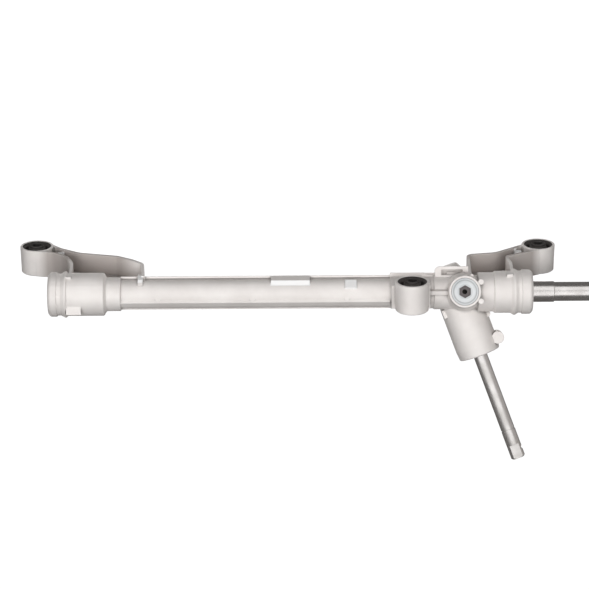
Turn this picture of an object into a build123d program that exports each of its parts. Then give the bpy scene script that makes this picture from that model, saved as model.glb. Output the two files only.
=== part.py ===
from build123d import *
from math import acos, atan, cos, degrees, pi, radians, sin, tan
import os

# Manual rack-and-pinion steering gear in a one-piece die-cast housing, millimetres.
# The model is built about the point where the rack axis passes the pinion: X runs along
# the rack, Y away from the yoke side, Z up along the mounting bolts. It is moved at the
# end so that the origin is the centre of the front bush.

# Housing along the rack
left_end = -532.4
right_end = 95.6
left_barrel_radius = 28.0
right_barrel_radius = 27.4
bead_radius = 28.9
bead_nose_radius = 25.3
bead_nose_run = 2.6
bead_nose_round = 5.0
boot_groove_radius = 27.4
lip_radius = 30.1
lip_crest = 1.8
lip_round = 1.6
edge_break = 1.0
left_bead = 11.8
left_groove = 4.9
left_lip = 8.3
left_lip_peak = 5.8
left_barrel = 72.1
right_bead = 14.6
right_groove = 3.65
right_lip = 10.1
right_lip_peak = 5.3
right_barrel = 49.6
shoulder_run = 3.6
shoulder_round = 2.0
left_neck_radius = 22.0
left_neck_end = 93.8
right_neck_radius = 25.5
tube_radius = 18.8
tube_end = -88.9
casing_radius = 21.0
casing_step = -33.0
casing_wide_radius = 22.2
casing_end = 24.0

# Bores and stops
mouth_bore = 23.0
stop_depth = 31.0
stop_ring_width = 4.0
stop_ring_bore = 15.2
main_bore = 14.6
bush_seat_radius = 16.5
bush_length = 28.0
running_fit = 0.05

# Rack bar
bar_radius = 12.4
toothed_radius = 13.5
toothed_from = -50.0
toothed_to = 124.3
bar_step_run = 0.8
half_travel = 66.0
rest_shift = 38.5
centred_protrusion = 38.2
end_chamfer = 1.5
tie_thread_radius = 6.2
tie_thread_depth = 30.0
tie_drill_point = 3.0
tooth_flat = 9.8
flat_run = 5.0
flat_run_out = 2.0

# Teeth: straight rack teeth across the bar, so the pinion helix equals its lean
normal_module = 2.1
pinion_teeth = 7
pressure_angle = 20.0
profile_shift = 0.6
pinion_tip_radius = 10.5
rack_dedendum = 1.25
pinion_dedendum = 1.25
backlash = 0.05
flank_steps = 5
first_gap = -6
last_gap = 17
shaft_lean = 20.3
shaft_tilt = 16.5
pinion_place = -1.6

# Pinion shaft, measured along its own axis from the rack, plus is towards the closed end
gear_half = 15.5
journal_radius = 6.0
journal_end = 28.0
runout_radius = 6.4
stem_radius = 9.2
stem_start = -20.0
bearing_top = -60.0
bearing_width = 12.0
bearing_bore = 10.0
bearing_outer = 21.0
bearing_shoulder = 11.8
bearing_shoulder_width = 3.0
shaft_radius = 9.1
shaft_groove = -193.7
shaft_groove_width = 1.6
shaft_groove_depth = 0.7
coupling_radius = 9.35
shaft_tip = -234.0
coupling_flat = 19.0
coupling_flat_depth = 2.2
pinch_notch_radius = 3.2
pinch_notch_from_tip = 12.0
pinch_notch_depth = 1.4
tip_chamfer = 1.6

# Pinion housing
pinion_tube_radius = 28.4
pinion_mouth_radius = 27.4
pinion_mouth_run = 12.0
pinion_tube_mouth = -88.0
pinion_tube_top = -8.0
dome_radius = 17.0
dome_foot = 8.0
dome_foot_radius = 18.5
dome_start = 28.0
dome_top = 35.6
dome_top_radius = 12.8
gear_bore = 12.5
gear_bore_half = 17.5
stem_bore = 15.5
stem_bore_run = 4.0
pin_boss = (29.2, -74.5)
pin_boss_radius = 8.0
pin_boss_faces = (-17.0, 10.0)
side_bump = (27.0, -41.0)
side_bump_radius = 4.1
side_bump_faces = (-11.0, 15.0)
tube_tab_low = (-27.4, -16.0, -27.5)
tube_tab_high = (-21.0, 0.0, -16.5)

# Needle bearing, ball bearing, ring nut, circlip and seal on the pinion
needle_radius = 0.75
needle_count = 14
needle_length = 8.0
needle_cup_wall = 0.45
needle_cup_length = 10.0
needle_cup_lip = 0.4
needle_gap = 0.03
ball_radius = 3.175
ball_count = 9
race_shoulder = 1.9
cage_width = 1.2
cage_half = 4.2
circlip_width = 1.2
circlip_radius = 11.8
circlip_groove_depth = 0.6
circlip_gap = 5.0
nut_radius = 22.0
nut_width = 7.0
nut_bore = 14.2
nut_rim = 3.0
nut_slot = 5.0
nut_slot_depth = 3.0
seal_radius = 23.0
seal_width = 8.0
seal_inset = 1.0
seal_wall = 2.0
seal_floor = 2.5
seal_land = 9.6
seal_collar = 3.5
seal_lip = 1.2
seal_lip_levels = (1.0, 3.0, 5.0, 5.5)

# Yoke side
yoke_tilt = 21.5
yoke_offset = 6.2
yoke_boss_radius = 20.8
yoke_boss_face = 42.0
yoke_flare_radius = 24.8
yoke_flare_top = 24.0
yoke_flare_run = 8.0
yoke_flare_step = 0.8
yoke_bore = 16.8
yoke_bore_start = 3.0
yoke_start = 5.5
yoke_top = 29.0
yoke_liner_wall = 0.8
yoke_liner_rim = 2.5
yoke_liner_stand = 0.5
yoke_pocket_radius = 11.0
yoke_pocket_floor = 21.0
plug_seat = 1.5
plug_radius = 17.8
plug_bottom = 31.5
plug_inset = 0.8
plug_pocket_depth = 2.0
plug_pocket_wall = 2.5
plug_step_radius = 12.5
plug_step_depth = 0.6
plug_ring_radius = 14.6
plug_ring_depth = 0.5
plug_ring_width = 1.0
hex_across = 14.5
hex_depth = 6.5
plug_hole_radius = 3.2
spring_radius = 8.6
spring_wire = 1.5
spring_turns = 3.0
yoke_ring_at = 24.5
ring_section = 1.2
stop_lug = (20.6, 12.5)
stop_lug_radius = 3.6
stop_lug_ends = (10.0, 41.0)
lug_web_faces = (16.0, 20.9)
lug_web_top = 38.0
side_lug = (9.2, 20.6)
side_lug_radius = 2.2
side_lug_ends = (8.0, 36.0)

# Bush eyes, arms and bushes
eye_radius = 22.0
eye_top = 32.0
eye_bottom = -3.0
front_eye_bottom = -7.0
eye_draft = 0.6
front_eye = (-62.0, -44.4)
left_eye = (-555.0, 97.5)
right_eye = (110.8, 93.0)
can_radius = 19.0
can_wall = 1.2
sleeve_radius = 9.5
bolt_radius = 6.1
sleeve_stand = 1.5
rubber_dish = 2.5
dish_run = 2.0
void_inner = 11.3
void_outer = 15.8
void_half_angle = 38.0
arm_wall = 4.0
arm_web_top = 5.0
arm_eye_join = 0.72
wall_slope_back = (44.0, 32.0)
wall_slope_front = (5.0, 25.0)
left_bump = (-522.5, 76.5)
right_bump = (83.0, 74.0)
bump_radius = 4.4
bump_top = 29.0

# Corners of the two arms in plan, each with the rounding it gets
left_arm_front = [
    (-506.0, 0.0, 0), (-506.0, 34.0, 15), (-512.5, 51.0, 15), (-520.0, 61.0, 15), (-533.0, 71.0, 15),
]
left_arm_back = [
    (-537.0, 106.0, 0), (-522.0, 88.5, 10), (-496.0, 70.5, 25), (-445.0, 57.5, 12), (-409.5, 33.5, 10),
    (-407.0, 0.0, 0),
]
left_arm_mouth = [(-502.0, -10.0), (-502.0, 36.0), (-440.0, 44.0), (-413.5, 30.0), (-411.0, -10.0)]
right_arm_back = [(12.9, 0.0, 0), (12.9, 55.5, 11), (52.0, 62.5, 25), (90.0, 93.0, 12)]
right_arm_front = [(93.5, 60.6, 15), (67.0, 45.3, 5), (71.5, 30.0, 8), (72.0, 0.0, 0)]
right_arm_mouth = [(16.9, -10.0), (16.9, 44.0), (54.0, 44.0), (66.5, 30.0), (68.0, -10.0)]

# Cast details, in the frame of the casting die unless they say otherwise
seam_turn = 137.0
rib_half = 2.4
top_rib = 4.0
bottom_rib = 1.4
ledge_section = [(-17.2, -7.0), (-18.9, -10.6), (-12.0, -16.0), (-6.0, -10.0)]
clip_pad_span = (-243.6, -193.0)
clip_pad_section = [(2.4, 22.4), (-2.4, 22.8), (-13.0, 17.5), (-14.8, 11.5), (-8.0, 8.0), (2.4, 8.0)]
square_pad_at = -140.0
square_pad_turn = 50.0
square_pad_half = (7.4, 6.3)
square_pad_stand = 1.8
square_pad_root = 12.0
ejector_places = (-389.9, -267.5, -145.1)
ejector_radius = 3.5
ejector_drop = 5.6
ejector_sink = 0.6
pillar_span = (-416.0, -409.5)
pillar_section = [(8.0, 25.5), (-2.0, 25.5), (-12.5, 19.5), (-16.4, 12.6), (-10.0, 6.0), (8.0, 6.0)]
flange_span = (-89.0, -44.0)
flange_section = [(-3.0, 0.0), (-3.0, 25.6), (4.0, 25.6), (4.0, 0.0)]
knee_outline = [(-46.0, 0.0), (-46.0, 25.6), (-42.0, 24.0), (-36.0, 21.0), (-30.0, 20.6), (-30.0, 0.0)]
knee_faces = (-3.0, 4.0)
knee_panel = ((-46.0, 3.0, 10.0), (-30.0, 8.0, 25.0))
deck_span = (-31.0, 12.5)
deck_section = [(-9.0, 0.0), (-9.0, 22.6), (16.0, 24.5), (22.0, 10.0), (16.0, 0.0)]
frame_faces = (-9.0, -3.5)
frame_outline = [(-31.0, 18.0, 0), (-31.0, 34.0, 6), (12.5, 34.0, 0), (12.5, 18.0, 0)]
frame_window = [(-22.6, 22.0, 0), (-22.6, 30.2, 1.5), (5.3, 30.2, 1.5), (5.3, 22.0, 0)]
frame_sill = ((-15.5, -3.5, 20.0), (0.8, 0.0, 26.4))
front_web = ((-87.5, -30.0, -11.0), (-38.0, 0.0, 21.0))
front_rib = ((-45.0, -26.0, 6.0), (-12.0, 0.0, 11.0))
left_collar_pad = ((-508.1, -24.2, -24.9), (-489.1, 0.0, -12.0))
left_top_pad = ((-510.5, -12.0, 18.0), (-501.8, -4.0, 28.4))
right_top_pad = ((61.9, -12.0, 18.0), (69.7, -4.0, 28.4))

die_frame = Rot(-shaft_tilt, 0, 0)
rack_ends = (left_end - centred_protrusion + rest_shift, right_end + centred_protrusion + rest_shift)
tooth_pitch = pi * normal_module
pinion_pitch_radius = pinion_teeth * normal_module / 2 / cos(radians(shaft_lean))
reference_line = tooth_flat - normal_module
centre_distance = reference_line + pinion_pitch_radius + profile_shift * normal_module
pinion_root_radius = pinion_pitch_radius - (pinion_dedendum - profile_shift) * normal_module
pinion_frame = die_frame * Pos(pinion_place, centre_distance, 0) * Rot(0, -shaft_lean, 0)
yoke_frame = Pos(yoke_offset, 0, 0) * Rot(90 - yoke_tilt, 0, 0)
plug_top = yoke_boss_face - plug_inset
left_stop = left_end + stop_depth
right_stop = right_end - stop_depth
bush_start = left_stop + stop_ring_width
bush_end = bush_start + bush_length
nut_top = bearing_top - bearing_width
circlip_bottom = nut_top - circlip_width
seal_top = pinion_tube_mouth + seal_inset + seal_width
on_base = (Align.CENTER, Align.CENTER, Align.MIN)


def spun_on_x(stations):
    """Solid of revolution about the rack axis from (x, radius) stations."""
    closed = [(stations[0][0], 0)] + stations + [(stations[-1][0], 0)]
    return revolve(make_face(Polyline(*closed, close=True)), Axis.X)


def spun_on_z(stations):
    """Solid of revolution about Z from (radius, z) stations."""
    closed = [(0, stations[0][1])] + stations + [(0, stations[-1][1])]
    return revolve(Plane.XZ * make_face(Polyline(*closed, close=True)), Axis.Z)


def ring_on_z(inner, outer, low, high):
    """Plain ring about Z."""
    corners = [(inner, low), (outer, low), (outer, high), (inner, high)]
    return revolve(Plane.XZ * make_face(Polyline(*corners, close=True)), Axis.Z)


def ring_on_x(inner, outer, low, high):
    """Plain ring about the rack axis."""
    corners = [(low, inner), (low, outer), (high, outer), (high, inner)]
    return revolve(make_face(Polyline(*corners, close=True)), Axis.X)


def rounded_face(corners):
    """Flat face from (x, y, rounding) corners."""
    points = [(x, y) for x, y, rounding in corners]
    roundings = [rounding for x, y, rounding in corners]
    return make_face(FilletPolyline(*points, radius=roundings, close=True))


def block(low, high):
    """Box between two opposite corners."""
    size = [high[i] - low[i] for i in range(3)]
    middle = [(high[i] + low[i]) / 2 for i in range(3)]
    return Pos(*middle) * Box(*size)


def bar_along_x(section, low, high):
    """Prism along X from corners given as (y, z)."""
    face = Plane.YZ * make_face(Polyline(*section, close=True))
    return Pos(low, 0, 0) * extrude(face, high - low)


def plate_across_y(face, front, back):
    """Prism along Y, between two planes, from a face drawn as (x, z)."""
    return Pos(0, back, 0) * extrude(Plane.XZ * face, back - front)


def round_bar_on_z(place, radius, low, high):
    """Upright cylinder between two heights."""
    return Pos(place[0], place[1], low) * Cylinder(radius, high - low, align=on_base)


# Housing

def collar_stations(bead, groove, lip, lip_peak, barrel, barrel_radius):
    """Outline of one boot collar as (distance from its end, radius, rounding)."""
    groove_end = bead + groove
    return [
        (0, bead_nose_radius, 0),
        (bead_nose_run, bead_radius, bead_nose_round),
        (bead - edge_break, bead_radius, 0),
        (bead, boot_groove_radius, 0),
        (groove_end, boot_groove_radius, 0),
        (groove_end + lip_peak - lip_crest / 2, lip_radius, lip_round),
        (groove_end + lip_peak + lip_crest / 2, lip_radius, lip_round),
        (groove_end + lip, barrel_radius, 0),
        (barrel, barrel_radius, shoulder_round),
    ]


def outer_barrel():
    """Both collars, the long tube and the casing over the pinion, turned in one."""
    left = collar_stations(
        left_bead, left_groove, left_lip, left_lip_peak, left_barrel, left_barrel_radius)
    right = collar_stations(
        right_bead, right_groove, right_lip, right_lip_peak, right_barrel, right_barrel_radius)
    neck_start = left_end + left_barrel + shoulder_run
    outline = [(left_end, 0, 0)]
    outline += [(left_end + run, radius, rounding) for run, radius, rounding in left]
    outline += [
        (neck_start, left_neck_radius, shoulder_round),
        (left_end + left_neck_end, left_neck_radius, 0),
        (left_end + left_neck_end + edge_break, tube_radius, 0),
        (tube_end, tube_radius, 0),
        (tube_end + edge_break, casing_radius, 0),
        (casing_step, casing_radius, 0),
        (casing_step + edge_break, casing_wide_radius, 0),
        (casing_end, casing_wide_radius, 0),
        (casing_end + edge_break, right_neck_radius, 0),
        (right_end - right_barrel - edge_break, right_neck_radius, 0),
    ]
    outline += [(right_end - run, radius, rounding) for run, radius, rounding in reversed(right)]
    outline.append((right_end, 0, 0))
    return Rot(seam_turn, 0, 0) * revolve(rounded_face(outline), Axis.X)


def tube_ribs():
    """Parting ribs and the front ledge that run along the tube."""
    tube_start = left_end + left_neck_end
    ribs = []
    for reach in (tube_radius + top_rib, -tube_radius - bottom_rib):
        section = [(-rib_half, 0), (-rib_half, reach), (rib_half, reach), (rib_half, 0)]
        ribs.append(bar_along_x(section, tube_start, casing_step))
    ribs.append(bar_along_x(ledge_section, tube_start, tube_end))
    return ribs


def tube_pads():
    """Raised cast pads on the tube: clip pad, square pad, ejector discs and end pillar."""
    half_long, half_round = square_pad_half
    square = block(
        (-half_long, -half_round, square_pad_root), (half_long, half_round, tube_radius + square_pad_stand))
    pads = [
        bar_along_x(clip_pad_section, *clip_pad_span),
        bar_along_x(pillar_section, *pillar_span),
        Pos(square_pad_at, 0, 0) * Rot(square_pad_turn, 0, 0) * square,
    ]
    for x in ejector_places:
        disc = Cylinder(ejector_radius, tube_radius - ejector_sink, align=on_base)
        pads.append(Pos(x, 0, -ejector_drop) * Rot(90, 0, 0) * disc)
    return pads


def pinion_housing():
    """Leaning tube for the pinion with its closed, domed upper end."""
    drawn_to = pinion_tube_mouth + pinion_mouth_run
    return spun_on_z([
        (pinion_mouth_radius - edge_break, pinion_tube_mouth),
        (pinion_mouth_radius, pinion_tube_mouth + edge_break),
        (pinion_tube_radius, drawn_to),
        (pinion_tube_radius, pinion_tube_top),
        (dome_foot_radius, dome_foot),
        (dome_radius, dome_start),
        (dome_top_radius, dome_top),
    ])


def yoke_housing():
    """Flared boss round the yoke, with two stop lugs at its right side."""
    parts = [spun_on_z([
        (yoke_flare_radius, 0.0),
        (yoke_flare_radius, yoke_flare_top - yoke_flare_run),
        (yoke_boss_radius + yoke_flare_step, yoke_flare_top),
        (yoke_boss_radius, yoke_boss_face - edge_break),
        (yoke_boss_radius - edge_break / 2, yoke_boss_face),
    ])]
    x, y = stop_lug
    for side in (-1, 1):
        parts.append(round_bar_on_z((x, side * y), stop_lug_radius, *stop_lug_ends))
    parts.append(block((lug_web_faces[0], -y, stop_lug_ends[0]), (lug_web_faces[1], y, lug_web_top)))
    parts.append(round_bar_on_z(side_lug, side_lug_radius, *side_lug_ends))
    return parts


def casing_details():
    """Flange beside the front eye, and the deck and gate frame over the pinion."""
    knee = make_face(Polyline(*knee_outline, close=True))
    gate = plate_across_y(rounded_face(frame_outline), *frame_faces)
    gate -= plate_across_y(rounded_face(frame_window), frame_faces[0] - 1, frame_faces[1] + 1)
    return [
        bar_along_x(flange_section, *flange_span),
        plate_across_y(knee, *knee_faces),
        block(*knee_panel),
        bar_along_x(deck_section, *deck_span),
        gate,
        block(*frame_sill),
    ]


def eye(place, low):
    """Upright eye that a bush is pressed into, with a little draft to its foot."""
    outer = spun_on_z([
        (eye_radius - eye_draft - edge_break, low),
        (eye_radius - eye_draft, low + edge_break),
        (eye_radius, eye_top - edge_break / 2),
        (eye_radius - edge_break / 2, eye_top),
    ])
    return Pos(place[0], place[1], 0) * outer


def arm(outline, mouth, bump):
    """Swept-back arm: a tray with a low web, walls that slope down to the collar and an open front."""
    plan = rounded_face(outline)
    pocket = offset(plan, amount=-arm_wall, kind=Kind.INTERSECTION) + make_face(Polyline(*mouth, close=True))
    body = Pos(0, 0, eye_bottom) * extrude(plan, eye_top - eye_bottom)
    body -= Pos(0, 0, arm_web_top) * extrude(pocket, eye_top)
    above = eye_top + 1
    back, front = wall_slope_back, wall_slope_front
    slope = [(back[0], above), back, front, (-1.0, front[1]), (-1.0, above)]
    low = min(x for x, y in mouth) - 2 * arm_wall
    high = max(x for x, y in mouth) + 2 * arm_wall
    body -= bar_along_x(slope, low, high)
    return body + round_bar_on_z(bump, bump_radius, arm_web_top - 1, bump_top)


def left_arm():
    x, y = left_eye
    at_eye = [(x, y - eye_radius, 0), (x, y + eye_radius * arm_eye_join, 0)]
    return arm(left_arm_front + at_eye + left_arm_back, left_arm_mouth, left_bump)


def right_arm():
    x, y = right_eye
    at_eye = [(x, y + eye_radius * arm_eye_join, 0), (x, y - eye_radius, 0)]
    return arm(right_arm_back + at_eye + right_arm_front, right_arm_mouth, right_bump)


def tube_side_bosses():
    """Pin boss, small bump and tab on the pinion tube, placed along its axis."""
    bosses = [block(tube_tab_low, tube_tab_high)]
    for place, radius, faces in (
            (pin_boss, pin_boss_radius, pin_boss_faces), (side_bump, side_bump_radius, side_bump_faces)):
        boss = Rot(90, 0, 0) * Cylinder(radius, faces[1] - faces[0])
        bosses.append(Pos(place[0], (faces[0] + faces[1]) / 2, place[1]) * boss)
    return bosses


def rack_bores():
    """Cuts along the rack axis: both mouths, bush seat and the long bore."""
    return Rot(seam_turn, 0, 0) * spun_on_x([
        (left_end - 1, mouth_bore + edge_break / 2),
        (left_end, mouth_bore + edge_break / 2),
        (left_end + edge_break / 2, mouth_bore),
        (bush_start, mouth_bore),
        (bush_start, bush_seat_radius),
        (bush_end, bush_seat_radius),
        (bush_end, main_bore),
        (right_stop - stop_ring_width, main_bore),
        (right_stop - stop_ring_width, mouth_bore),
        (right_end - edge_break / 2, mouth_bore),
        (right_end, mouth_bore + edge_break / 2),
        (right_end + 1, mouth_bore + edge_break / 2),
    ])


def pinion_bores():
    """Cuts along the pinion axis, widening towards the mouth for assembly."""
    cup = journal_radius + 2 * needle_radius + 2 * needle_gap + needle_cup_wall
    return spun_on_z([
        (seal_radius, pinion_tube_mouth - 1),
        (seal_radius, seal_top),
        (nut_radius, seal_top),
        (nut_radius, nut_top),
        (bearing_outer, nut_top),
        (bearing_outer, bearing_top),
        (stem_bore, bearing_top),
        (stem_bore, stem_start - stem_bore_run),
        (gear_bore, -gear_bore_half),
        (gear_bore, gear_bore_half),
        (cup, gear_bore_half),
        (cup, journal_end + edge_break),
    ])


def yoke_bores():
    return spun_on_z([
        (yoke_bore, yoke_bore_start),
        (yoke_bore, plug_bottom - plug_seat),
        (plug_radius, plug_bottom - plug_seat),
        (plug_radius, yoke_boss_face + 1),
    ])


def housing():
    """The whole casting."""
    body = outer_barrel()
    in_die = tube_ribs() + tube_pads() + casing_details() + [block(*left_collar_pad)]
    body += [die_frame * piece for piece in in_die]
    body += pinion_frame * pinion_housing()
    body += [pinion_frame * piece for piece in tube_side_bosses()]
    body += [yoke_frame * piece for piece in yoke_housing()]
    body += [left_arm(), right_arm()]
    body += [block(*corners) for corners in (front_web, front_rib, left_top_pad, right_top_pad)]
    body += [eye(left_eye, eye_bottom), eye(right_eye, eye_bottom), eye(front_eye, front_eye_bottom)]
    body -= rack_bores()
    body -= pinion_frame * pinion_bores()
    body -= yoke_frame * yoke_bores()
    for place in (left_eye, right_eye, front_eye):
        body -= Pos(place[0], place[1], 0) * Cylinder(can_radius, 3 * eye_top)
    return body


# Bushes

def bush_shell(low):
    return ring_on_z(can_radius - can_wall, can_radius, low + edge_break / 2, eye_top - edge_break / 2)


def bush_sleeve(low):
    return ring_on_z(bolt_radius, sleeve_radius, low - sleeve_stand, eye_top + sleeve_stand)


def bush_rubber(low):
    """Rubber between sleeve and can, dished at both ends, with two curved voids."""
    outside = can_radius - can_wall
    dish_low = low + rubber_dish + edge_break
    dish_high = eye_top - rubber_dish - edge_break
    section = [
        (sleeve_radius, low + edge_break),
        (sleeve_radius + dish_run, dish_low),
        (outside - dish_run, dish_low),
        (outside, low + edge_break),
        (outside, eye_top - edge_break),
        (outside - dish_run, dish_high),
        (sleeve_radius + dish_run, dish_high),
        (sleeve_radius, eye_top - edge_break),
    ]
    rubber = revolve(Plane.XZ * make_face(Polyline(*section, close=True)), Axis.Z)
    under, above = low - 1, eye_top + 1
    void = [(void_inner, under), (void_outer, under), (void_outer, above), (void_inner, above)]
    for side in (0, 180):
        sector = revolve(Plane.XZ * make_face(Polyline(*void, close=True)), Axis.Z, 2 * void_half_angle)
        rubber -= Rot(0, 0, side - void_half_angle) * sector
    return rubber


# Rack and its bearings

def rack_bar():
    """Bar with straight teeth milled across its back, drilled for the tie-rod joints."""
    low, high = rack_ends
    bar = spun_on_x([
        (low, bar_radius - end_chamfer),
        (low + end_chamfer, bar_radius),
        (toothed_from - bar_step_run, bar_radius),
        (toothed_from, toothed_radius),
        (toothed_to - bar_step_run, toothed_radius),
        (toothed_to, bar_radius),
        (high - end_chamfer, bar_radius),
        (high, bar_radius - end_chamfer),
    ])
    reach = toothed_radius + 1
    flat_low = pinion_place + first_gap * tooth_pitch - flat_run
    flat_high = pinion_place + last_gap * tooth_pitch + flat_run + flat_run_out
    bar -= die_frame * block((flat_low, tooth_flat, -reach), (flat_high, reach, reach))
    root_line = reference_line - rack_dedendum * normal_module
    flank = tan(radians(pressure_angle))
    half_gap = tooth_pitch / 4 + backlash
    half_root = half_gap - (reference_line - root_line) * flank
    half_mouth = half_gap + (reach - reference_line) * flank
    gap = [(-half_root, root_line), (half_root, root_line), (half_mouth, reach), (-half_mouth, reach)]
    cutter = Pos(0, 0, -reach) * extrude(make_face(Polyline(*gap, close=True)), 2 * reach)
    places = [pinion_place + k * tooth_pitch for k in range(first_gap, last_gap + 1)]
    bar -= [die_frame * Pos(x, 0, 0) * cutter for x in places]
    for end, inward in ((low, 1), (high, -1)):
        bar -= spun_on_x([
            (end, tie_thread_radius + edge_break),
            (end + inward * edge_break, tie_thread_radius),
            (end + inward * tie_thread_depth, tie_thread_radius),
            (end + inward * (tie_thread_depth + tie_drill_point), edge_break / 2),
        ])
    return bar


def bush_ring_places():
    return [bush_start + bush_length * share for share in (0.25, 0.75)]


def rack_bush():
    """Plastic bush that carries the plain end of the bar, grooved for two O-rings."""
    body = ring_on_x(bar_radius + running_fit, bush_seat_radius, bush_start, bush_end)
    floor = bush_seat_radius - 2 * ring_section
    for x in bush_ring_places():
        body -= ring_on_x(floor, bush_seat_radius + 1, x - ring_section, x + ring_section)
    return body


def o_ring(radius):
    """Round-section ring about Z."""
    return revolve(Plane.XZ * Pos(radius, 0, 0) * Circle(ring_section), Axis.Z)


def stop_ring(face, inward):
    """Steel ring that the inner tie-rod joint meets at full lock."""
    low, high = sorted((face, face + inward * stop_ring_width))
    return ring_on_x(stop_ring_bore, mouth_bore, low, high)


# Pinion and what carries it

def pinion_gear():
    """Seven-tooth involute gear, twisted to its helix."""
    lean = radians(shaft_lean)
    transverse_angle = atan(tan(radians(pressure_angle)) / cos(lean))
    base_radius = pinion_pitch_radius * cos(transverse_angle)
    thickness = normal_module * (pi / 2 + 2 * profile_shift * tan(radians(pressure_angle))) / cos(lean)
    half_pitch = thickness / 2 / pinion_pitch_radius
    involute_pitch = tan(transverse_angle) - transverse_angle

    def half_angle(radius):
        roll = acos(min(1.0, base_radius / radius))
        return half_pitch + involute_pitch - (tan(roll) - roll)

    def at(radius, angle):
        return (radius * cos(angle), radius * sin(angle))

    rise = (pinion_tip_radius - base_radius) / flank_steps
    radii = [base_radius + rise * step for step in range(flank_steps + 1)]
    pitch_angle = 2 * pi / pinion_teeth
    foot = half_angle(base_radius)
    edges = []
    for tooth in range(pinion_teeth):
        middle = tooth * pitch_angle - pi / 2
        rising = [at(radius, middle - half_angle(radius)) for radius in radii]
        falling = [at(radius, middle + half_angle(radius)) for radius in reversed(radii)]
        root_start = at(pinion_root_radius, middle + foot)
        root_middle = at(pinion_root_radius, middle + pitch_angle / 2)
        root_end = at(pinion_root_radius, middle + pitch_angle - foot)
        edges.append(Line(at(pinion_root_radius, middle - foot), rising[0]))
        edges.append(Spline(*rising))
        edges.append(ThreePointArc(rising[-1], at(pinion_tip_radius, middle), falling[0]))
        edges.append(Spline(*falling))
        edges.append(Line(falling[-1], root_start))
        edges.append(ThreePointArc(root_start, root_middle, root_end))
    section = make_face(edges).face()
    twist = degrees(2 * gear_half * tan(lean) / pinion_pitch_radius)
    gear = Solid.extrude_linear_with_rotation(section, (0, 0, 0), (0, 0, 2 * gear_half), twist)
    return Pos(0, 0, -gear_half) * Rot(0, 0, -twist / 2) * gear


def pinion():
    """Pinion and input shaft in one, with its coupling end."""
    groove_low = shaft_groove - shaft_groove_width
    groove_floor = shaft_radius - shaft_groove_depth
    clip_floor = bearing_bore - circlip_groove_depth
    shoulder_top = bearing_top + bearing_shoulder_width
    shaft = spun_on_z([
        (coupling_radius - tip_chamfer, shaft_tip),
        (coupling_radius, shaft_tip + tip_chamfer),
        (coupling_radius, groove_low),
        (groove_floor, groove_low),
        (groove_floor, shaft_groove),
        (shaft_radius, shaft_groove),
        (shaft_radius, pinion_tube_mouth),
        (seal_land, pinion_tube_mouth + edge_break),
        (seal_land, seal_top + edge_break),
        (clip_floor, seal_top + edge_break),
        (clip_floor, nut_top),
        (bearing_bore, nut_top),
        (bearing_bore, bearing_top),
        (bearing_shoulder, bearing_top),
        (bearing_shoulder, shoulder_top),
        (stem_radius, shoulder_top + edge_break),
        (stem_radius, stem_start),
        (runout_radius, -gear_half),
        (runout_radius, gear_half),
        (journal_radius, gear_half),
        (journal_radius, journal_end - edge_break),
        (journal_radius - edge_break, journal_end),
    ])
    body = pinion_gear() + shaft
    across = coupling_radius + 1
    flat_face = coupling_radius - coupling_flat_depth
    body -= block((-across, -across, shaft_tip - 1), (across, -flat_face, shaft_tip + coupling_flat))
    notch_middle = coupling_radius + pinch_notch_radius - pinch_notch_depth
    notch = Rot(90, 0, 0) * Cylinder(pinch_notch_radius, 4 * coupling_radius)
    return body - Pos(notch_middle, 0, shaft_tip + pinch_notch_from_tip) * notch


def needle_cup():
    """Drawn cup with a turned-in lip."""
    inner = journal_radius + 2 * needle_radius + 2 * needle_gap
    outer = inner + needle_cup_wall
    low = journal_end - needle_cup_length
    cup = ring_on_z(inner, outer, low, journal_end)
    return cup + ring_on_z(journal_radius + needle_cup_lip, inner, low, low + needle_cup_wall)


def needles():
    mid = journal_radius + needle_radius + needle_gap
    low = journal_end - needle_cup_length + needle_cup_wall + 5 * needle_gap
    roller = round_bar_on_z((mid, 0), needle_radius, low, low + needle_length)
    return [Rot(0, 0, 360 * index / needle_count) * roller for index in range(needle_count)]


def ball_middle():
    return (bearing_bore + bearing_outer) / 2


def race_groove():
    ring = Plane.XZ * Pos(ball_middle(), bearing_top - bearing_width / 2) * Circle(ball_radius + needle_gap)
    return revolve(ring, Axis.Z)


def bearing_ring(inner, outer):
    return ring_on_z(inner, outer, nut_top, bearing_top) - race_groove()


def ball_place(index):
    turn = Rot(0, 0, 360 * index / ball_count)
    return turn * Pos(ball_middle(), 0, bearing_top - bearing_width / 2)


def balls():
    return [ball_place(index) * Sphere(ball_radius) for index in range(ball_count)]


def bearing_cage():
    """Ribbon cage with a round pocket for each ball."""
    middle = bearing_top - bearing_width / 2
    inner = ball_middle() - cage_width
    outer = ball_middle() + cage_width
    cage = ring_on_z(inner, outer, middle - cage_half, middle + cage_half)
    for index in range(ball_count):
        cage -= ball_place(index) * Rot(0, 90, 0) * Cylinder(ball_radius + 2 * needle_gap, 4 * cage_width)
    return cage


def circlip():
    """Open spring ring in the groove under the bearing."""
    ring = ring_on_z(bearing_bore - circlip_groove_depth, circlip_radius, circlip_bottom, nut_top)
    half = circlip_gap / 2
    return ring - block((half, -half, circlip_bottom - 1), (circlip_radius + 1, half, nut_top + 1))


def ring_nut():
    """Threaded ring that clamps the bearing, slotted for a pin spanner."""
    bottom = nut_top - nut_width
    ring = ring_on_z(nut_bore, nut_radius, bottom, nut_top)
    half = nut_slot / 2
    slot = block((nut_bore - 1, -half, bottom - 1), (nut_radius - nut_rim, half, bottom + nut_slot_depth))
    for quarter in range(4):
        ring -= Rot(0, 0, 90 * quarter + 45) * slot
    return ring


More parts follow.
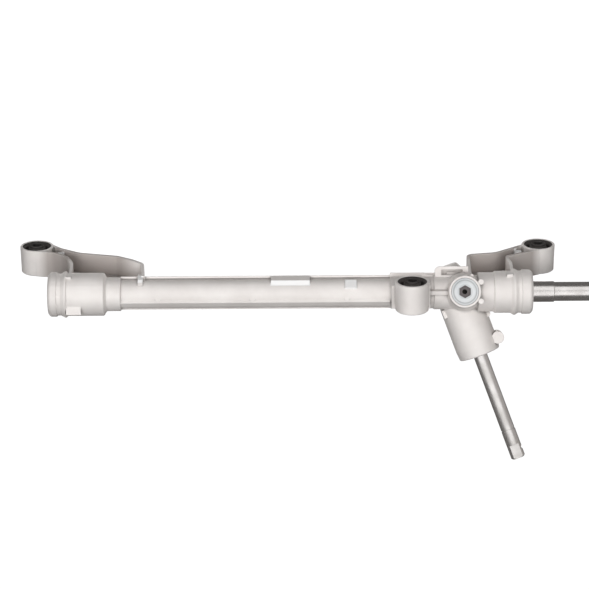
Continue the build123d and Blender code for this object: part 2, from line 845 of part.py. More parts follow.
def shaft_seal():
    """Pressed-in seal with a cupped lip against the shaft."""
    low = seal_top - seal_width
    lip = seal_land + running_fit
    cup = seal_radius - seal_wall
    first, second, third, fourth = seal_lip_levels
    section = [
        (lip, low + second),
        (lip + seal_lip, low + first),
        (lip + seal_collar, low),
        (seal_radius, low),
        (seal_radius, seal_top),
        (cup, seal_top),
        (cup, low + seal_floor),
        (lip + seal_collar, low + seal_floor),
        (lip + seal_collar, low + fourth),
        (lip, low + third),
    ]
    return revolve(Plane.XZ * make_face(Polyline(*section, close=True)), Axis.Z)


# Yoke, spring and plug

def yoke():
    """Support yoke: a cylinder saddled over the bar and pocketed for the spring."""
    outside = yoke_bore - running_fit
    body = spun_on_z([
        (outside, yoke_start),
        (outside, yoke_top - edge_break),
        (outside - edge_break, yoke_top),
    ])
    saddle = toothed_radius + running_fit + yoke_liner_wall
    body -= Rot(0, 90, 0) * Cylinder(saddle, 4 * yoke_bore)
    body -= round_bar_on_z((0, 0), yoke_pocket_radius, yoke_pocket_floor, yoke_top + 1)
    floor = yoke_bore - 2 * ring_section
    return body - ring_on_z(floor, yoke_bore + 1, yoke_ring_at - ring_section, yoke_ring_at + ring_section)


def yoke_liner():
    """Low-friction shell between the yoke and the bar."""
    inside = toothed_radius + running_fit
    shell = Cylinder(inside + yoke_liner_wall, 4 * yoke_bore) - Cylinder(inside, 4 * yoke_bore)
    bounds = round_bar_on_z((0, 0), yoke_bore - yoke_liner_rim, yoke_start + yoke_liner_stand, yoke_top)
    return Rot(0, 90, 0) * shell & bounds


def yoke_spring():
    """Short coil between the yoke and the plug."""
    rise = plug_bottom + plug_pocket_depth - yoke_pocket_floor - 2 * spring_wire
    coil = Helix(rise / spring_turns, rise, spring_radius)
    wire = Plane(origin=coil @ 0, z_dir=coil % 0) * Circle(spring_wire - needle_gap)
    return Pos(0, 0, yoke_pocket_floor + spring_wire) * sweep(wire, path=coil, is_frenet=True)


def yoke_plug():
    """Screwed adjuster plug with a hexagon socket and a small vent hole."""
    above = plug_top + 1
    body = spun_on_z([
        (plug_radius - edge_break, plug_bottom),
        (plug_radius, plug_bottom + edge_break),
        (plug_radius, plug_top - edge_break / 2),
        (plug_radius - edge_break / 2, plug_top),
    ])
    body -= round_bar_on_z((0, 0), plug_step_radius, plug_top - plug_step_depth, above)
    body -= ring_on_z(plug_ring_radius, plug_ring_radius + plug_ring_width, plug_top - plug_ring_depth, above)
    hexagon = RegularPolygon(hex_across / 2, 6, major_radius=False, rotation=30)
    body -= Pos(0, 0, plug_top - hex_depth) * extrude(hexagon, hex_depth + 1)
    body -= round_bar_on_z((0, 0), plug_hole_radius, plug_bottom - 1, above)
    pocket_inner = plug_hole_radius + plug_pocket_wall
    pocket_top = plug_bottom + plug_pocket_depth
    return body - ring_on_z(pocket_inner, yoke_pocket_radius, plug_bottom - 1, pocket_top)


def save(name, shape):
    """Move a finished sub-part to the part's own frame and write it."""
    pieces = shape if isinstance(shape, (list, tuple)) else [shape]
    shift = Pos(-front_eye[0], -front_eye[1], -(eye_top + front_eye_bottom) / 2)
    solids = []
    for piece in pieces:
        solids += (shift * piece).solids()
    result = solids[0] if len(solids) == 1 else Compound(children=solids)
    result.label = name
    export_step(result, "parts/" + name + ".step")


os.makedirs("parts", exist_ok=True)
save("housing", housing())
eyes = (
    ("front", front_eye, front_eye_bottom),
    ("left", left_eye, eye_bottom),
    ("right", right_eye, eye_bottom),
)
for name, place, low in eyes:
    spot = Pos(place[0], place[1], 0)
    save(name + "_bush_shell", spot * bush_shell(low))
    save(name + "_bush_rubber", spot * bush_rubber(low))
    save(name + "_bush_sleeve", spot * bush_sleeve(low))
save("rack_bar", rack_bar())
save("rack_bush", rack_bush())
bush_ring = Rot(0, 90, 0) * o_ring(bush_seat_radius - ring_section)
save("rack_bush_o_rings", [Pos(x, 0, 0) * bush_ring for x in bush_ring_places()])
save("left_stop_ring", stop_ring(left_stop, 1))
save("right_stop_ring", stop_ring(right_stop, -1))
save("pinion", pinion_frame * pinion())
save("needle_cup", pinion_frame * needle_cup())
save("needle_rollers", [pinion_frame * roller for roller in needles()])
save("bearing_outer_ring", pinion_frame * bearing_ring(ball_middle() + race_shoulder, bearing_outer))
save("bearing_inner_ring", pinion_frame * bearing_ring(bearing_bore, ball_middle() - race_shoulder))
save("bearing_balls", [pinion_frame * ball for ball in balls()])
save("bearing_cage", pinion_frame * bearing_cage())
save("pinion_circlip", pinion_frame * circlip())
save("bearing_ring_nut", pinion_frame * ring_nut())
save("pinion_seal", pinion_frame * shaft_seal())
save("yoke", yoke_frame * yoke())
save("yoke_liner", yoke_frame * yoke_liner())
save("yoke_spring", yoke_frame * yoke_spring())
save("yoke_o_ring", yoke_frame * Pos(0, 0, yoke_ring_at) * o_ring(yoke_bore - ring_section))
save("yoke_plug", yoke_frame * yoke_plug())
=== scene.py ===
import math

import bpy
from mathutils import Matrix, Vector


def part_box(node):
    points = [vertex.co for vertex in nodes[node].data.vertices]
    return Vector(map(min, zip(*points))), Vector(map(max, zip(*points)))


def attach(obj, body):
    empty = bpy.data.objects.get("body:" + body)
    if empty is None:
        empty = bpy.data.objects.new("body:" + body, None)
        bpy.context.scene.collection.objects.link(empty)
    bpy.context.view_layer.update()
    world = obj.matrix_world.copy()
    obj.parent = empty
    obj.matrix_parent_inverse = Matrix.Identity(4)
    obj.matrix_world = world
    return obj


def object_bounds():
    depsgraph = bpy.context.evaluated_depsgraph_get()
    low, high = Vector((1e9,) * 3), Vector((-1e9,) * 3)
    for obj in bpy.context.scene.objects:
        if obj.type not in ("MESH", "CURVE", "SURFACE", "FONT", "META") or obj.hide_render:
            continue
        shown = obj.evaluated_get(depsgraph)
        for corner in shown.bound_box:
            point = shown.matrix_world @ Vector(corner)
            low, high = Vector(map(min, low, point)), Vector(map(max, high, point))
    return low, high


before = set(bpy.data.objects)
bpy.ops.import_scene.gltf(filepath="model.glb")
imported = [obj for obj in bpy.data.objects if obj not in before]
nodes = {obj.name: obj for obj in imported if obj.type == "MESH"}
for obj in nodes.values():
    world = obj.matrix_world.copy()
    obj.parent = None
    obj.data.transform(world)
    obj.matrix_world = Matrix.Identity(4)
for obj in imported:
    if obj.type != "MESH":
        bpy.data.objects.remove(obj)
cad_low, cad_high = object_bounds()
mm = 0.001

# Housing: one pressure die casting in aluminium, shot blasted to a soft grain, with its
# parting ribs trimmed and its pads left bright where the trim tool and the cutter met them.
# The swept arms behind it are painted a darker, browner grey, which stands in for the shade they lie in.


def put(tree, kind, inputs=None, **settings):
    """Add one shader node; inputs are numbers, colours or sockets to link from."""
    made = tree.nodes.new("ShaderNode" + kind)
    for name, value in settings.items():
        setattr(made, name, value)
    for name, value in (inputs or {}).items():
        if isinstance(value, bpy.types.NodeSocket):
            tree.links.new(value, made.inputs[name])
        else:
            made.inputs[name].default_value = value
    return made


def reckon(tree, operation, first, second):
    """Work out one number from two and return it."""
    return put(tree, "Math", {0: first, 1: second}, operation=operation).outputs[0]


def reckon_vector(tree, operation, first, second):
    """Work out one vector from two and return it."""
    return put(tree, "VectorMath", {0: first, 1: second}, operation=operation).outputs["Vector"]


def measure(tree, operation, inputs):
    """Take one number from a vector or a pair of them."""
    return put(tree, "VectorMath", inputs, operation=operation).outputs["Value"]


def stretch(tree, value, low=0.0, high=1.0, start=0.0, end=1.0):
    """Turn what runs from low to high into what runs from start to end."""
    inputs = {"Value": value, "From Min": low, "From Max": high, "To Min": start, "To Max": end}
    return put(tree, "MapRange", inputs).outputs[0]


def blend(tree, mask, under, over, blend_type="MIX"):
    """Lay one colour over another by a mask."""
    inputs = {"Factor": mask, 6: under, 7: over}
    return put(tree, "Mix", inputs, data_type="RGBA", blend_type=blend_type).outputs[2]


def in_metres(values):
    """Three millimetre values in metres."""
    return [value * mm for value in values]


def new_group(name, inputs, outputs):
    """Start a node group with named sockets and return it with its two ends."""
    group = bpy.data.node_groups.new(name, "ShaderNodeTree")
    kinds = {"value": "NodeSocketFloat", "colour": "NodeSocketColor", "vector": "NodeSocketVector"}
    for label, kind, value in inputs:
        socket = group.interface.new_socket(label, in_out="INPUT", socket_type=kinds[kind])
        socket.default_value = value
    for label, kind in outputs:
        group.interface.new_socket(label, in_out="OUTPUT", socket_type=kinds[kind])
    entry = group.nodes.new("NodeGroupInput")
    way_out = group.nodes.new("NodeGroupOutput")
    return group, entry.outputs, way_out.inputs


def place(tree, group, inputs):
    """Put a node group into a material with its own values and return its outputs."""
    return put(tree, "Group", inputs, node_tree=group).outputs


def new_material(name):
    """Empty material with its surface shader and the position in the object's own frame."""
    made = bpy.data.materials.new(name)
    made.use_nodes = True
    tree = made.node_tree
    tree.nodes.clear()
    shader = put(tree, "BsdfPrincipled")
    output = put(tree, "OutputMaterial")
    tree.links.new(shader.outputs["BSDF"], output.inputs["Surface"])
    where = put(tree, "TexCoord").outputs["Object"]
    return made, tree, shader.inputs, where


def raise_grain(tree, skin, height, strength, distance, normal=None):
    """Lift a grain a little off the surface."""
    inputs = {"Strength": strength, "Distance": distance, "Height": height}
    if normal is not None:
        inputs["Normal"] = normal
    bump = put(tree, "Bump", inputs)
    tree.links.new(bump.outputs[0], skin["Normal"])


def dress(name, material):
    """Give a carried-over sub-part its finish."""
    slots = nodes[name].data.materials
    slots.clear()
    slots.append(material)


worn_edges, ins, outs = new_group(
    "worn_edges",
    [("Radius", "value", 0.8 * mm), ("Low", "value", 0.02), ("High", "value", 0.25)],
    [("Edge", "value"), ("Normal", "vector")])
rounded = put(worn_edges, "Bevel", {"Radius": ins["Radius"]}, samples=6).outputs[0]
true_normal = put(worn_edges, "NewGeometry").outputs["Normal"]
likeness = measure(worn_edges, "DOT_PRODUCT", {0: rounded, 1: true_normal})
turned = reckon(worn_edges, "SUBTRACT", 1.0, likeness)
edge = stretch(worn_edges, turned, ins["Low"], ins["High"])
worn_edges.links.new(edge, outs["Edge"])
worn_edges.links.new(rounded, outs["Normal"])

pit_core = 0.10
pit_rim = 0.35
blasted_grain, ins, outs = new_group(
    "blasted_grain",
    [("Position", "vector", (0, 0, 0)), ("Grain Scale", "value", 900.0), ("Cloud Scale", "value", 28.0)],
    [("Height", "value"), ("Cloud", "value"), ("Speck", "value")])
grain = put(blasted_grain, "TexNoise",
            {"Vector": ins["Position"], "Scale": ins["Grain Scale"], "Detail": 3.0, "Roughness": 0.6})
cloud = put(blasted_grain, "TexNoise",
            {"Vector": ins["Position"], "Scale": ins["Cloud Scale"], "Detail": 4.0, "Roughness": 0.55})
pits = put(blasted_grain, "TexVoronoi", {"Vector": ins["Position"], "Scale": ins["Grain Scale"]})
speck = stretch(blasted_grain, pits.outputs["Distance"], pit_core, pit_rim)
blasted_grain.links.new(grain.outputs["Fac"], outs["Height"])
blasted_grain.links.new(cloud.outputs["Fac"], outs["Cloud"])
blasted_grain.links.new(speck, outs["Speck"])

# Painted shade: a mask of how closely other surfaces close in, for darkening corners and hollows.
corner_shade_paint, ins, outs = new_group(
    "corner_shade_paint",
    [("Reach", "value", 6 * mm), ("Open", "value", 0.8), ("Shut", "value", 0.3)],
    [("Shade", "value")])
closeness = put(corner_shade_paint, "AmbientOcclusion", {"Distance": ins["Reach"]}, samples=8)
shade_amount = stretch(corner_shade_paint, closeness.outputs["AO"], ins["Open"], ins["Shut"])
corner_shade_paint.links.new(shade_amount, outs["Shade"])

# Box mask in the die frame, used for the trimmed pads and for the painted shade.
patch_fade = 0.4 * mm
trim_and_shade_patch, ins, outs = new_group(
    "trim_and_shade_patch",
    [("Position", "vector", (0, 0, 0)), ("Middle", "vector", (0, 0, 0)), ("Half", "vector", (1, 1, 1))],
    [("Mask", "value")])
away = reckon_vector(trim_and_shade_patch, "SUBTRACT", ins["Position"], ins["Middle"])
spread = put(trim_and_shade_patch, "VectorMath", {0: away}, operation="ABSOLUTE").outputs["Vector"]
beyond = reckon_vector(trim_and_shade_patch, "SUBTRACT", spread, ins["Half"])
parts = put(trim_and_shade_patch, "SeparateXYZ", {0: beyond}).outputs
widest = reckon(trim_and_shade_patch, "MAXIMUM", parts["X"], parts["Y"])
widest = reckon(trim_and_shade_patch, "MAXIMUM", widest, parts["Z"])
inside = stretch(trim_and_shade_patch, widest, 0.0, -patch_fade)
trim_and_shade_patch.links.new(inside, outs["Mask"])

casting, tree, skin, where = new_material("blasted_casting")
aluminium_light = (0.87, 0.835, 0.81, 1)
aluminium_dark = (0.80, 0.76, 0.735, 1)
painted_rear_shade = (0.40, 0.35, 0.325, 1)
corner_shade_tone = (0.30, 0.275, 0.26, 1)
bright_edge = (0.90, 0.885, 0.87, 1)
trimmed_metal = (0.96, 0.955, 0.95, 1)
rib_shade_tone = (0.27, 0.25, 0.24, 1)
cloud_low = 0.35
cloud_high = 0.68
rack_axis = (62.0 * mm, 44.4 * mm, -12.5 * mm)
die_tilt = math.radians(16.5)
rear_shade_starts = 80 * mm
rear_shade_full = 94 * mm
rear_shade_share = 0.70
rear_eyes = ((-493.0, 141.9, 0), (172.8, 137.4, 0))
eye_radius = 23 * mm
eye_clearing = 30 * mm
trimmed_places = (
    ((-218.3, -14.6, 14.2), (26.0, 2.2, 3.6)),
    ((-140.0, -16.5, 13.0), (7.9, 6.5, 7.0)),
    ((-412.8, -8.0, 20.0), (3.6, 9.0, 4.5)),
    ((-522.5, 65.7, 47.6), (5.5, 6.0, 4.0)),
    ((83.0, 63.3, 48.5), (5.5, 6.0, 4.0)),
)
# Boxes in the die frame, on the hump and the deck, where the painted corner shade is left out.
corner_shade_gaps = (
    ((-3.0, 12.0, 34.0), (12.0, 9.0, 6.0)),
    ((-38.0, 0.0, 22.0), (10.0, 8.0, 3.0)),
)
# Painted shade: a dark band along the top parting rib of the tube.
rib_shade_middle = (-236.0, 0.0, 19.6)
rib_shade_half = (204.0, 3.2, 1.0)


def patch_mask(tree, position, middle, half):
    """Mask of one box in the die's own frame, given in millimetres."""
    inputs = {"Position": position, "Middle": in_metres(middle), "Half": in_metres(half)}
    return place(tree, trim_and_shade_patch, inputs)["Mask"]


edges = place(tree, worn_edges, {"Radius": 1.1 * mm})
grain = place(tree, blasted_grain, {"Position": where})
cloud = stretch(tree, grain["Cloud"], cloud_low, cloud_high)
tone = blend(tree, cloud, aluminium_light, aluminium_dark)
# Painted shade: the casting turns a darker, browner grey towards the back, over the swept arms, but not on
# the fronts of the rear eyes.
depth = put(tree, "SeparateXYZ", {0: where}).outputs["Y"]
oil_film_and_painted_shade = stretch(tree, depth, rear_shade_starts, rear_shade_full, end=rear_shade_share)
in_plan = reckon_vector(tree, "MULTIPLY", where, (1, 1, 0))
for eye in rear_eyes:
    spacing = measure(tree, "DISTANCE", {0: in_plan, 1: in_metres(eye)})
    clear = stretch(tree, spacing, eye_radius, eye_clearing)
    oil_film_and_painted_shade = reckon(tree, "MULTIPLY", oil_film_and_painted_shade, clear)
tone = blend(tree, oil_film_and_painted_shade, tone, painted_rear_shade)
from_axis = reckon_vector(tree, "SUBTRACT", where, rack_axis)
die_turn = put(tree, "VectorRotate", {"Vector": from_axis, "Angle": die_tilt}, rotation_type="X_AXIS")
in_die = die_turn.outputs["Vector"]
# Painted shade in the casting's corners, left out on the hump and the deck.
corner_shade = place(tree, corner_shade_paint, {"Reach": 7 * mm, "Open": 0.82, "Shut": 0.35})["Shade"]
for middle, half in corner_shade_gaps:
    shade_kept = reckon(tree, "SUBTRACT", 1.0, patch_mask(tree, in_die, middle, half))
    corner_shade = reckon(tree, "MULTIPLY", corner_shade, shade_kept)
tone = blend(tree, corner_shade, tone, corner_shade_tone)
tone = blend(tree, edges["Edge"], tone, bright_edge)
trimmed = 0.0
for middle, half in trimmed_places:
    trimmed = reckon(tree, "MAXIMUM", patch_mask(tree, in_die, middle, half), trimmed)
tone = blend(tree, trimmed, tone, trimmed_metal)
# Painted shade along the top parting rib.
tone = blend(tree, patch_mask(tree, in_die, rib_shade_middle, rib_shade_half), tone, rib_shade_tone)
tree.links.new(tone, skin["Base Color"])
gloss = stretch(tree, grain["Speck"], start=0.54, end=0.66)
tree.links.new(gloss, skin["Roughness"])
skin["Metallic"].default_value = 0.52
raise_grain(tree, skin, grain["Height"], strength=0.35, distance=0.12 * mm, normal=edges["Normal"])
dress("housing", casting)

# Bush cans and sleeves: drawn and turned steel, phosphated black before the rubber is
# moulded between them. The can is pressed into its eye and only its rim shows.


def dull_skin(name, tones, glosses, grain_scales, relief, edge_radius=None, edge_tone=None, metallic=0.0):
    """Grained finish in two tones, with worn corners where an edge tone is given."""
    made, tree, skin, where = new_material(name)
    grain_scale, cloud_scale = grain_scales
    grain = place(tree, blasted_grain, {
        "Position": where, "Grain Scale": grain_scale, "Cloud Scale": cloud_scale})
    tone = blend(tree, grain["Cloud"], *tones)
    normal = None
    if edge_radius:
        edges = place(tree, worn_edges, {"Radius": edge_radius})
        normal = edges["Normal"]
    if edge_tone:
        tone = blend(tree, edges["Edge"], tone, edge_tone)
    tree.links.new(tone, skin["Base Color"])
    gloss = stretch(tree, grain["Speck"], start=glosses[0], end=glosses[1])
    tree.links.new(gloss, skin["Roughness"])
    skin["Metallic"].default_value = metallic
    strength, distance = relief
    raise_grain(tree, skin, grain["Height"], strength, distance, normal)
    return made


phosphate = dull_skin(
    "phosphated_steel",
    tones=((0.10, 0.092, 0.088, 1), (0.055, 0.05, 0.048, 1)),
    glosses=(0.38, 0.52),
    grain_scales=(1500.0, 28.0),
    relief=(0.3, 0.05 * mm),
    edge_radius=0.5 * mm,
    edge_tone=(0.22, 0.21, 0.20, 1),
    metallic=0.7)
for side in ("front", "left", "right"):
    dress(side + "_bush_shell", phosphate)
    dress(side + "_bush_sleeve", phosphate)

# Bush rubber: black natural rubber moulded between can and sleeve, dull, with a faint
# blotchy bloom and the two curved voids that soften it along the car.
rubber = dull_skin(
    "moulded_rubber",
    tones=((0.042, 0.038, 0.036, 1), (0.085, 0.077, 0.072, 1)),
    glosses=(0.42, 0.62),
    grain_scales=(700.0, 90.0),
    relief=(0.25, 0.1 * mm),
    edge_radius=0.9 * mm)
for side in ("front", "left", "right"):
    dress(side + "_bush_rubber", rubber)

# Rack bar: induction-hardened steel, centreless ground and lightly oiled, with the teeth
# milled across its back. Grinding leaves fine rings round it.
along_bar = (1, 0.02, 0.02)
ground_lines, ins, outs = new_group(
    "ground_lines",
    [("Position", "vector", (0, 0, 0)), ("Line Scale", "value", 2600.0), ("Stretch", "vector", along_bar)],
    [("Height", "value"), ("Smear", "value")])
drawn_out = reckon_vector(ground_lines, "MULTIPLY", ins["Position"], ins["Stretch"])
lines = put(ground_lines, "TexNoise",
            {"Vector": drawn_out, "Scale": ins["Line Scale"], "Detail": 2.0, "Roughness": 0.7})
smear = put(ground_lines, "TexNoise", {"Vector": ins["Position"], "Scale": 55.0, "Detail": 5.0})
ground_lines.links.new(lines.outputs["Fac"], outs["Height"])
ground_lines.links.new(smear.outputs["Fac"], outs["Smear"])


def bright_metal(name, light, dark, roughness, line_stretch=along_bar, edge_tone=(0.9, 0.89, 0.88, 1)):
    """Machined metal with tool lines, an uneven oil film and brighter corners."""
    made, tree, skin, where = new_material(name)
    edges = place(tree, worn_edges, {"Radius": 0.4 * mm})
    lines = place(tree, ground_lines, {"Position": where, "Stretch": line_stretch})
    oil_film_and_painted_shade = stretch(tree, lines["Smear"], low=0.38, high=0.66)
    tone = blend(tree, oil_film_and_painted_shade, light, dark)
    tone = blend(tree, edges["Edge"], tone, edge_tone)
    tree.links.new(tone, skin["Base Color"])
    smoothest = roughness * 0.85
    roughest = roughness * 1.25
    gloss = stretch(tree, lines["Smear"], low=0.3, high=0.7, start=smoothest, end=roughest)
    tree.links.new(gloss, skin["Roughness"])
    skin["Metallic"].default_value = 1.0
    raise_grain(tree, skin, lines["Height"], strength=0.2, distance=0.02 * mm, normal=edges["Normal"])
    return made


ground_steel = bright_metal("ground_steel", (0.88, 0.85, 0.83, 1), (0.74, 0.71, 0.69, 1), 0.25)
dress("rack_bar", ground_steel)

# Tie-rod threads: each end of the bar is tapped M14 for the inner tie-rod joint. The bar's
# own hole is plain, so the crests stand up from its wall as one fine helix.
thread_radius = 6.2 * mm
thread_height = 0.45 * mm
thread_pitch = 1.5 * mm
thread_turns = 17
thread_inset = 1.6 * mm
crest_spread = 0.36
steps_per_turn = 32


def tie_rod_thread(name, face, inward):
    """Helical thread crests inside one end of the bar."""
    section = (
        (-crest_spread, thread_radius),
        (0.0, thread_radius - thread_height),
        (crest_spread, thread_radius),
    )
    points = []
    faces = []
    last = thread_turns * steps_per_turn
    for step in range(last + 1):
        turn = 2 * math.pi * step / steps_per_turn
        along = thread_inset + thread_pitch * step / steps_per_turn
        for offset, radius in section:
            x = face + inward * (along + offset * thread_pitch)
            y = rack_axis[1] + radius * math.cos(turn)
            z = rack_axis[2] + radius * math.sin(turn)
            points.append((x, y, z))
    row = len(section)
    for step in range(last):
        for side in (0, 1):
            first = row * step + side
            faces.append((first, first + 1, first + row + 1, first + row))
    mesh = bpy.data.meshes.new(name)
    mesh.from_pydata(points, [], faces)
    mesh.materials.append(ground_steel)
    crest = bpy.data.objects.new(name, mesh)
    bpy.context.scene.collection.objects.link(crest)
    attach(crest, "rack")


bar_low, bar_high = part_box("rack_bar")
tie_rod_thread("left_tie_rod_thread", bar_low[0], 1)
tie_rod_thread("right_tie_rod_thread", bar_high[0], -1)

# Rack bush, its O-rings and the stop rings: what guides the plain end of the bar and
# stops its stroke, pressed and snapped into the collars.
nylon = dull_skin(
    "glass_filled_nylon",
    tones=((0.62, 0.58, 0.48, 1), (0.50, 0.46, 0.37, 1)),
    glosses=(0.4, 0.55),
    grain_scales=(1200.0, 28.0),
    relief=(0.2, 0.05 * mm))
dress("rack_bush", nylon)
for name in ("rack_bush_o_rings", "yoke_o_ring", "pinion_seal"):
    dress(name, rubber)
turned_steel = bright_metal("turned_steel", (0.52, 0.50, 0.48, 1), (0.40, 0.38, 0.37, 1), 0.32)
for name in ("left_stop_ring", "right_stop_ring", "bearing_ring_nut"):
    dress(name, turned_steel)

# Pinion and input shaft: one forging, ground on the shaft and hobbed at the gear, with a
# clamp groove, a flat and a pinch notch for the steering column's coupling.
along_shaft = (0.06, 0.02, 1)
shaft_steel = bright_metal(
    "shaft_steel", (0.95, 0.92, 0.90, 1), (0.84, 0.81, 0.78, 1), 0.36, along_shaft)
dress("pinion", shaft_steel)

# Pinion bearings: a deep-groove ball bearing under the ring nut and a drawn needle cup in
# the closed end, all bearing steel except the pressed brass cage.
bearing_steel = bright_metal(
    "bearing_steel", (0.70, 0.69, 0.68, 1), (0.60, 0.59, 0.58, 1), 0.16, along_shaft)
for name in ("needle_cup", "needle_rollers", "bearing_outer_ring", "bearing_inner_ring", "bearing_balls"):
    dress(name, bearing_steel)
cage_brass = bright_metal(
    "cage_brass", (0.68, 0.50, 0.24, 1), (0.55, 0.38, 0.17, 1), 0.30, along_shaft, (0.85, 0.70, 0.40, 1))
dress("bearing_cage", cage_brass)
spring_steel = bright_metal(
    "spring_steel", (0.20, 0.19, 0.19, 1), (0.12, 0.11, 0.11, 1), 0.35, along_shaft)
dress("pinion_circlip", spring_steel)

# Yoke set: the alloy yoke with its bronze-faced liner is pushed against the bar by one
# coil spring under the screwed plug. The yoke is dark with grease.
all_round = (1, 1, 1)
yoke_alloy = bright_metal("yoke_alloy", (0.07, 0.065, 0.06, 1), (0.04, 0.037, 0.034, 1), 0.38)
liner_bronze = bright_metal(
    "liner_bronze", (0.45, 0.30, 0.16, 1), (0.34, 0.22, 0.12, 1), 0.34, all_round, (0.70, 0.50, 0.28, 1))
dress("yoke", yoke_alloy)
dress("yoke_liner", liner_bronze)
dress("yoke_spring", spring_steel)

# Yoke plug: bright zinc-plated steel, faced on a lathe, so fine rings run round its
# hexagon socket and catch a faint blue. The groove ring and the socket are painted darker as shade.
plug_place = Vector((68.2, 44.4, -12.5)) * mm
plug_tilt = math.radians(21.5)
plug_axis = Vector((0, -math.cos(plug_tilt), math.sin(plug_tilt)))
plug_face = 40.6 * mm
plug_radius = 17.8
# Grey levels across the plug's face by radius: lathe rings, painted shade over the turned groove from 14.0
# to 15.4 mm, and the dark sealed joint at the outer edge.
plug_rings_and_groove_shade = (
    (8.0, 0.85), (9.4, 0.88), (10.2, 1.0), (13.2, 1.0), (14.0, 0.78), (14.7, 0.66),
    (15.4, 0.78), (16.0, 0.95), (16.9, 0.95), (17.4, 0.70), (plug_radius, 0.62),
)
socket_shade = (0.22, 0.20, 0.20, 1)
socket_starts = 0.5 * mm
socket_dark = 2.5 * mm
socket_inner = 8.3 * mm
socket_outer = 8.6 * mm
plated = bright_metal("plated_plug", (0.93, 0.95, 0.96, 1), (0.84, 0.865, 0.88, 1), 0.42, all_round)
tree = plated.node_tree
where = put(tree, "TexCoord").outputs["Object"]
from_plug = reckon_vector(tree, "SUBTRACT", where, plug_place)
along = measure(tree, "DOT_PRODUCT", {0: from_plug, 1: plug_axis})
across = reckon_vector(tree, "CROSS_PRODUCT", from_plug, plug_axis)
reach = measure(tree, "LENGTH", {0: across})
sunk = stretch(tree, along, plug_face - socket_starts, plug_face - socket_dark)
inner = stretch(tree, reach, socket_outer, socket_inner)
share = stretch(tree, reach, 0.0, plug_radius * mm)
ring_and_groove_tone = put(tree, "ValToRGB", {"Fac": share})
ring_and_groove_tone.color_ramp.interpolation = "LINEAR"
for radius, shade in plug_rings_and_groove_shade:
    mark = ring_and_groove_tone.color_ramp.elements.new(radius / plug_radius)
    mark.color = (shade, shade, shade, 1)
plug_skin = tree.nodes["Principled BSDF"].inputs
turned_tone = plug_skin["Base Color"].links[0].from_socket
tone = blend(tree, 1.0, turned_tone, ring_and_groove_tone.outputs[0], "MULTIPLY")
tone = blend(tree, reckon(tree, "MULTIPLY", sunk, inner), tone, socket_shade)
tree.links.new(tone, plug_skin["Base Color"])
dress("yoke_plug", plated)

# Floor: a plain white sheet just under the lowest point of the shaft, white to the camera
# and to reflections, that keeps the shadow.
studio_colour = (1, 1, 1, 1)


def background_share(tree):
    """One for the rays that should see the background, and nought for light on the object."""
    seen = put(tree, "LightPath").outputs
    shown = reckon(tree, "MAXIMUM", seen["Is Camera Ray"], seen["Is Glossy Ray"])
    return reckon(tree, "MAXIMUM", shown, seen["Is Transmission Ray"])


def studio_white(name, shade, glow):
    """White that the camera and reflections see as background, and that keeps a shadow."""
    made = bpy.data.materials.new(name)
    made.use_nodes = True
    tree = made.node_tree
    tree.nodes.clear()
    paint = put(tree, "BsdfDiffuse", {"Color": (shade, shade, shade, 1)})
    strength = reckon(tree, "MULTIPLY", background_share(tree), glow)
    lit = put(tree, "Emission", {"Color": studio_colour, "Strength": strength})
    both = put(tree, "AddShader", {0: paint.outputs[0], 1: lit.outputs[0]})
    output = put(tree, "OutputMaterial")
    tree.links.new(both.outputs[0], output.inputs["Surface"])
    return made


floor_half = 4.0
floor_gap = 0.5 * mm
floor_height = cad_low.z - floor_gap
floor_shade = 0.12
floor_glow = 0.97
sheet = bpy.data.meshes.new("studio_floor")
sheet.from_pydata(
    [(x * floor_half, y * floor_half, floor_height) for x, y in ((-1, -1), (1, -1), (1, 1), (-1, 1))],
    [], [(0, 1, 2, 3)])
floor = bpy.data.objects.new("studio_floor", sheet)
bpy.context.scene.collection.objects.link(floor)
sheet.materials.append(studio_white("studio_floor_white", floor_shade, floor_glow))

# Cards: dull black and grey flags round the object that only reflections see. They draw
# the dark edges along the ground bar and the shaft, as a studio does for bright metal.


def card_paint(name, shade):
    """Dull card for a flag, given the level at which a reflection shows it."""
    made, _, skin, _ = new_material(name)
    skin["Base Color"].default_value = (0.02, 0.02, 0.02, 1)
    skin["Emission Color"].default_value = (1.0, 0.96, 0.93, 1)
    skin["Emission Strength"].default_value = shade
    skin["Roughness"].default_value = 0.9
    return made


flag_black = card_paint("flag_black", 0.10)
flag_grey = card_paint("flag_grey", 0.34)


def flag(name, corners, paint=flag_black):
    """Card that only reflections see."""
    card = bpy.data.meshes.new(name)
    card.from_pydata(corners, [], [(0, 1, 2, 3)])
    card.materials.append(paint)
    made = bpy.data.objects.new(name, card)
    bpy.context.scene.collection.objects.link(made)
    made.visible_camera = False
    made.visible_diffuse = False
    made.visible_shadow = False
    made.visible_transmission = False


flag_left = -1.6
flag_right = 1.3
flag_back = 0.9
flag_top = 1.3
flag_lift = 2 * mm
flag_low = floor_height + flag_lift


def upright_flag(name, y, low, high):
    """Card across the back or the front, from the left flag to the right one."""
    corners = [(flag_left, y, low), (flag_right, y, low), (flag_right, y, high), (flag_left, y, high)]
    flag(name, corners)


def level_flag(name, front, z):
    """Card above or below, from its front edge to the back flag."""
    front_edge = [(flag_left, front, z), (flag_right, front, z)]
    back_edge = [(flag_right, flag_back, z), (flag_left, flag_back, z)]
    flag(name, front_edge + back_edge)


def side_flag(name, x, front, paint):
    """Card at one side, from its front edge to the back flag."""
    foot = [(x, front, flag_low), (x, flag_back, flag_low)]
    head = [(x, flag_back, flag_top), (x, front, flag_top)]
    flag(name, foot + head, paint)


ground_flag_front = -0.40
top_flag_front = -0.22
left_flag_front = -0.40
right_flag_front = -1.3
strip_place = -1.74
strip_low = 0.80
strip_high = 1.00
upright_flag("back_flag", flag_back, flag_low, flag_top)
level_flag("ground_flag", ground_flag_front, flag_low)
level_flag("top_flag", top_flag_front, flag_top)
upright_flag("strip_flag", strip_place, strip_low, strip_high)
side_flag("left_flag", flag_left, left_flag_front, flag_black)
side_flag("right_flag", flag_right, right_flag_front, flag_grey)

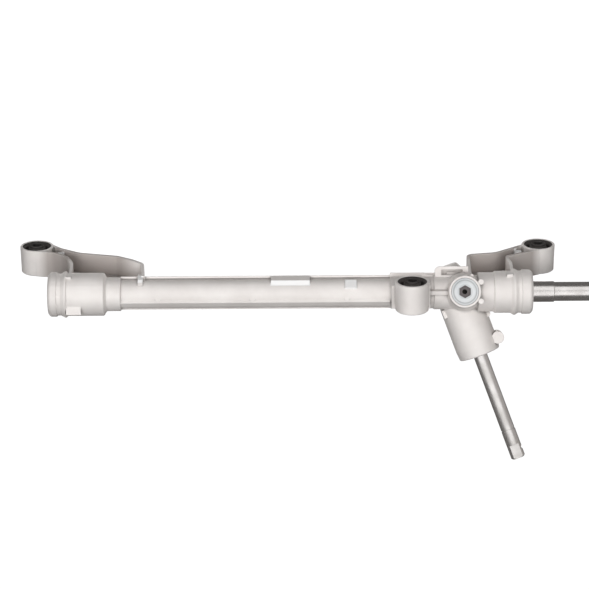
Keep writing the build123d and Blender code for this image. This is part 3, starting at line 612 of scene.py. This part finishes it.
# Surround: an even white room that the camera and reflections see at full strength, and
# that gives the object itself only a low, even fill.
ambient = 0.14
world = bpy.data.worlds.new("studio_surround")
bpy.context.scene.world = world
world.use_nodes = True
sky = world.node_tree
sky.nodes.clear()
level = stretch(sky, background_share(sky), start=ambient)
glow = put(sky, "Background", {"Color": studio_colour, "Strength": level})
sky_output = put(sky, "OutputWorld")
sky.links.new(glow.outputs[0], sky_output.inputs["Surface"])

# Camera: level with the photograph's own view, 21 degrees above the housing's front, from
# 3.5 m, so that one pixel of 589 covers 1.3 mm at the rack.
picture_pixels = 589
pixel_size = 1.3 * mm
view_middle = Vector((-151.0 * mm, 44.4 * mm, -14.5 * mm))
view_distance = 3.5
view_elevation = math.radians(21.0)
camera_roll = math.radians(-0.36)
sensor_width = 36.0
camera_data = bpy.data.cameras.new("photo_camera")
camera_data.sensor_width = sensor_width
camera_data.lens = sensor_width * view_distance / (picture_pixels * pixel_size)
camera = bpy.data.objects.new("photo_camera", camera_data)
bpy.context.scene.collection.objects.link(camera)
back = Vector((0, -math.cos(view_elevation), math.sin(view_elevation)))
facing = (-back).to_track_quat("-Z", "Y").to_matrix()
camera.location = view_middle + back * view_distance
camera.rotation_euler = (facing @ Matrix.Rotation(camera_roll, 3, "Z")).to_euler()
bpy.context.scene.camera = camera
bpy.context.scene.view_settings.view_transform = "Standard"

# Lamps: a large soft key beside the camera, a weaker one behind and a faint one above.
# Reflections don't see them, because the white surround already lights the metal.
lamp_aim = Vector((-0.15, 0.044, -0.01))
lamps = (
    ("key_lamp", (-0.3, -2.8, 0.30), 4.4, 1.9, 168),
    ("top_lamp", (-0.15, 0.1, 2.4), 3.0, 1.2, 9),
    ("back_lamp", (-0.1, 2.7, 0.50), 4.4, 1.6, 130),
)
for name, spot, width, height, power in lamps:
    data = bpy.data.lights.new(name, "AREA")
    data.shape = "RECTANGLE"
    data.size = width
    data.size_y = height
    data.energy = power
    lamp = bpy.data.objects.new(name, data)
    bpy.context.scene.collection.objects.link(lamp)
    lamp.location = spot
    lamp.rotation_euler = (lamp_aim - Vector(spot)).to_track_quat("-Z", "Y").to_euler()
    lamp.visible_glossy = False
